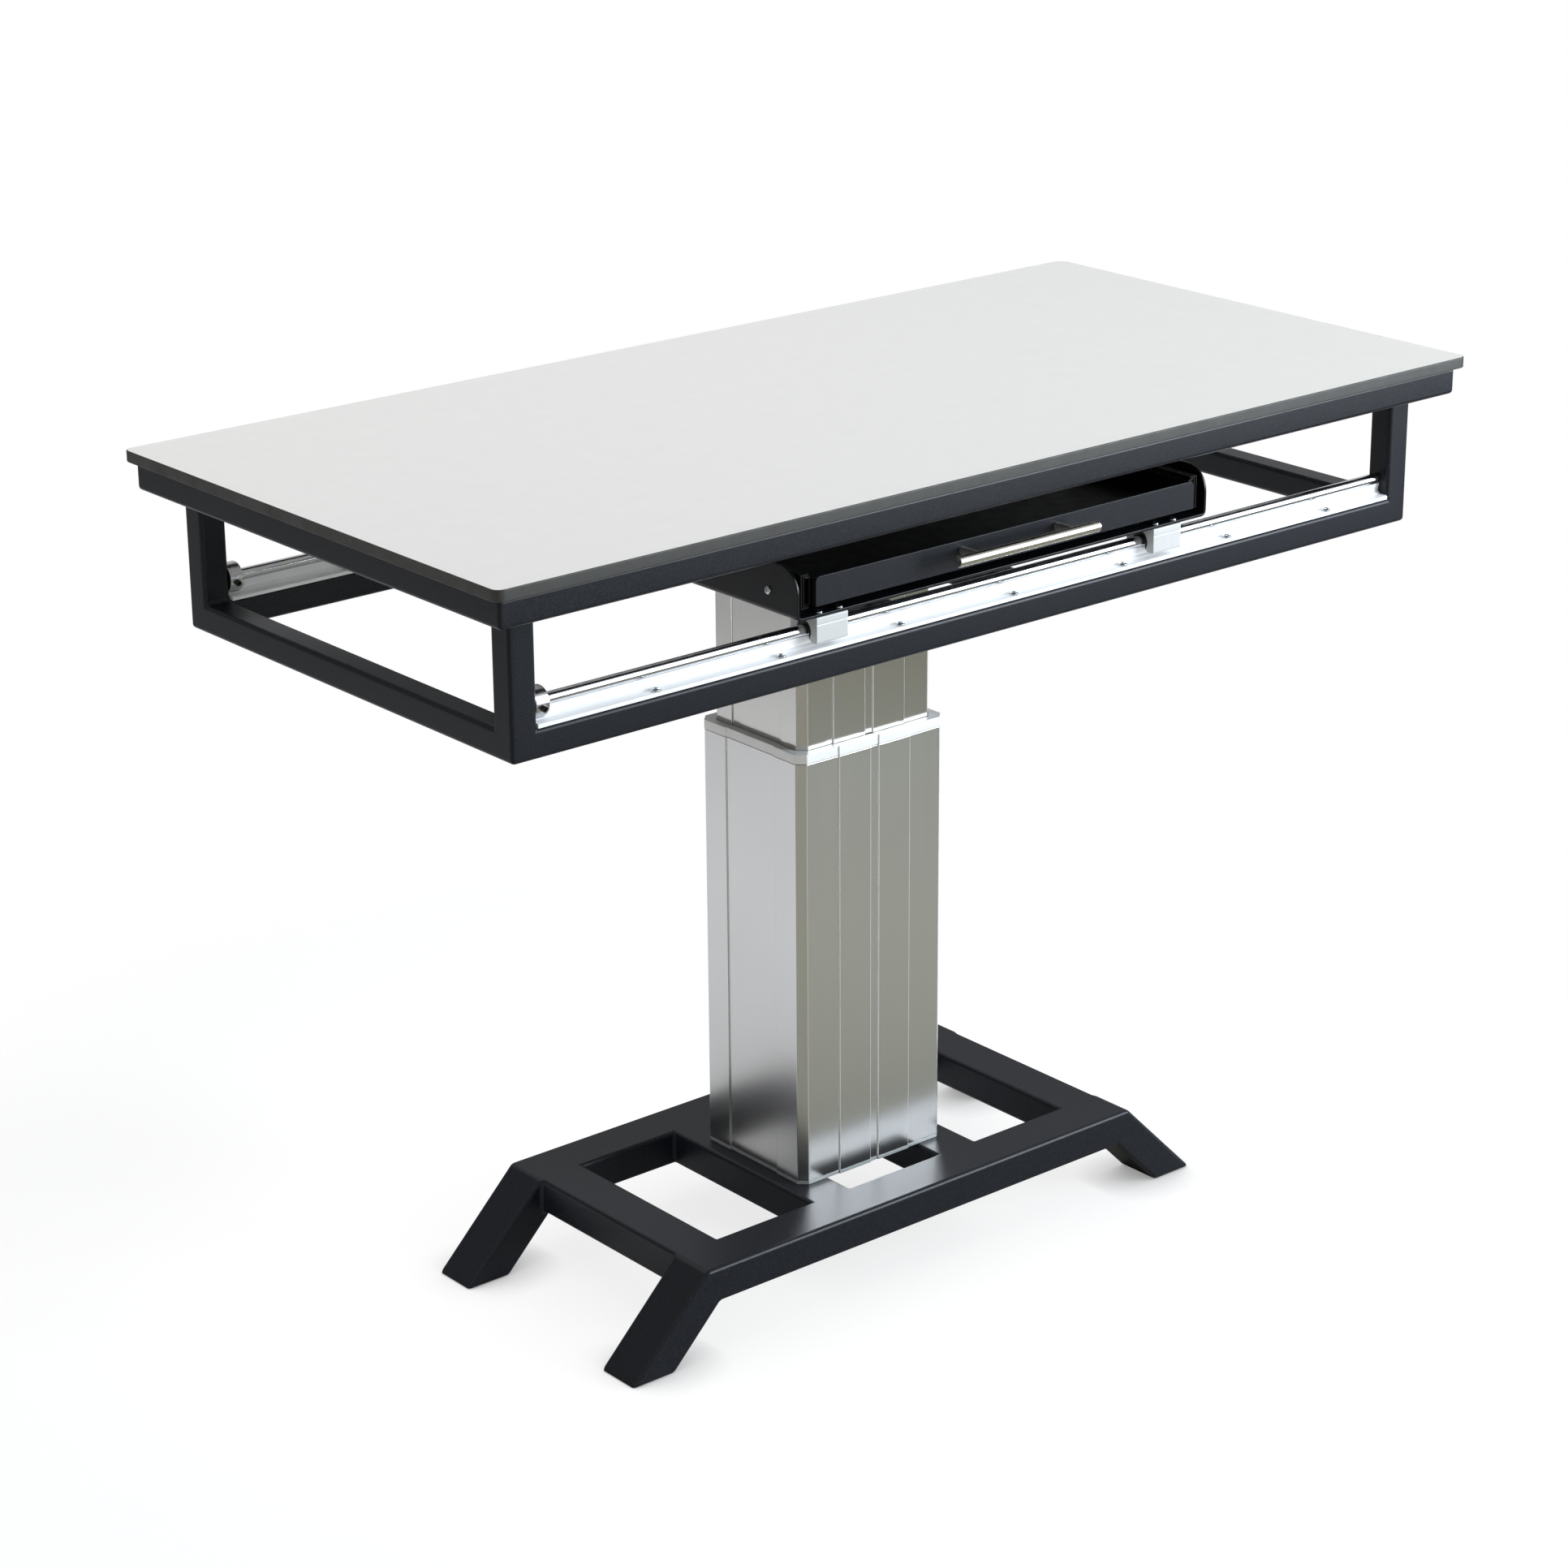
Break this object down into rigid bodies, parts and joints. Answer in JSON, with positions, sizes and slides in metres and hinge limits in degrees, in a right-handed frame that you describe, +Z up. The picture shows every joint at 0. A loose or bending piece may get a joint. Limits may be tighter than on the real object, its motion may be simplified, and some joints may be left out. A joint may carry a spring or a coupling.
{
  "type": "veterinary x-ray table",
  "caption": "Examination table with a flat top on a double frame, a telescopic lifting column, a splayed base and a sliding carriage with a cassette drawer.",
  "frame": {"origin": "on the floor, at the middle of the bounding box and below the middle of the table top", "axes": "+X along the table, to the right as seen from the drawer side; +Y to the back, away from the drawer's handle; +Z up"},
  "size_m": [1.304, 0.638, 0.95],
  "materials": {
    "black_coat": "fine-textured black powder coat on welded steel tube",
    "laminate": "matte white compact laminate with a dark core edge",
    "anodised": "extruded and satin anodised",
    "bright_aluminium": "extruded or machined, bright",
    "ground_steel": "hardened and ground",
    "brushed_steel": "brushed along the piece",
    "black_steel": "satin black coat on bent sheet steel",
    "drive_grey": "grey coated housing",
    "bushing_black": "black moulded cage and seal",
    "nut_bronze": "machined bronze",
    "glide_plastic": "moulded slide plastic"
  },
  "bodies": {
    "base": {"base_cross_rail_left": "black_coat", "base_cross_rail_right": "black_coat", "base_end_rail_left": "black_coat", "base_end_rail_right": "black_coat", "base_leg_front_left": "black_coat", "base_leg_front_right": "black_coat", "base_leg_rear_left": "black_coat", "base_leg_rear_right": "black_coat", "base_rail_front": "black_coat", "base_rail_rear": "black_coat", "column_cap_ring": "bright_aluminium", "column_foot_plate": "anodised", "column_outer_profile": "anodised", "spindle_nut": "nut_bronze", "spindle_nut_tube": "brushed_steel"},
    "lift": {"column_glide_collar": "glide_plastic", "column_inner_profile": "anodised", "column_top_plate": "black_coat", "cross_member_left": "black_coat", "cross_member_right": "black_coat", "frame_post_front_left": "black_coat", "frame_post_front_right": "black_coat", "frame_post_rear_left": "black_coat", "frame_post_rear_right": "black_coat", "guide_shaft_front": "ground_steel", "guide_shaft_rear": "ground_steel", "lift_gear_motor": "drive_grey", "lift_spindle": "ground_steel", "lower_rail_front": "black_coat", "lower_rail_left": "black_coat", "lower_rail_rear": "black_coat", "lower_rail_right": "black_coat", "shaft_collar_front": "ground_steel", "shaft_collar_rear": "ground_steel", "shaft_support_front": "bright_aluminium", "shaft_support_rear": "bright_aluminium", "tabletop_panel": "laminate", "top_rail_front": "black_coat", "top_rail_left": "black_coat", "top_rail_rear": "black_coat", "top_rail_right": "black_coat"},
    "carriage": {"bearing_block_front_left": "bright_aluminium", "bearing_block_front_right": "bright_aluminium", "bearing_block_rear_left": "bright_aluminium", "bearing_block_rear_right": "bright_aluminium", "carriage_tray": "black_steel", "drawer_slide_outer_left": "black_steel", "drawer_slide_outer_right": "black_steel", "linear_bushing_front_left": "bushing_black", "linear_bushing_front_right": "bushing_black", "linear_bushing_rear_left": "bushing_black", "linear_bushing_rear_right": "bushing_black"},
    "slide_middle": {"drawer_slide_middle_left": "black_steel", "drawer_slide_middle_right": "black_steel"},
    "drawer": {"drawer_box": "black_steel", "drawer_front": "black_coat", "drawer_handle": "brushed_steel", "drawer_slide_inner_left": "black_steel", "drawer_slide_inner_right": "black_steel"}
  },
  "joints": [
    {"name": "column_lift", "type": "slide", "parent": "base", "child": "lift", "axis": [0, 0, 1], "range_m": [-0.145, 0.2]},
    {"name": "carriage_run", "type": "slide", "parent": "lift", "child": "carriage", "axis": [1, 0, 0], "range_m": [-0.3, 0.28]},
    {"name": "drawer_pull", "type": "slide", "parent": "carriage", "child": "drawer", "axis": [0, -1, 0], "range_m": [0, 0.4]},
    {"name": "slide_middle_pull", "type": "slide", "parent": "carriage", "child": "slide_middle", "axis": [0, -1, 0], "range_m": [0, 0.2]}
  ],
  "couplings": [
    {"joint": "slide_middle_pull", "follows": "drawer_pull", "ratio": 0.5}
  ]
}
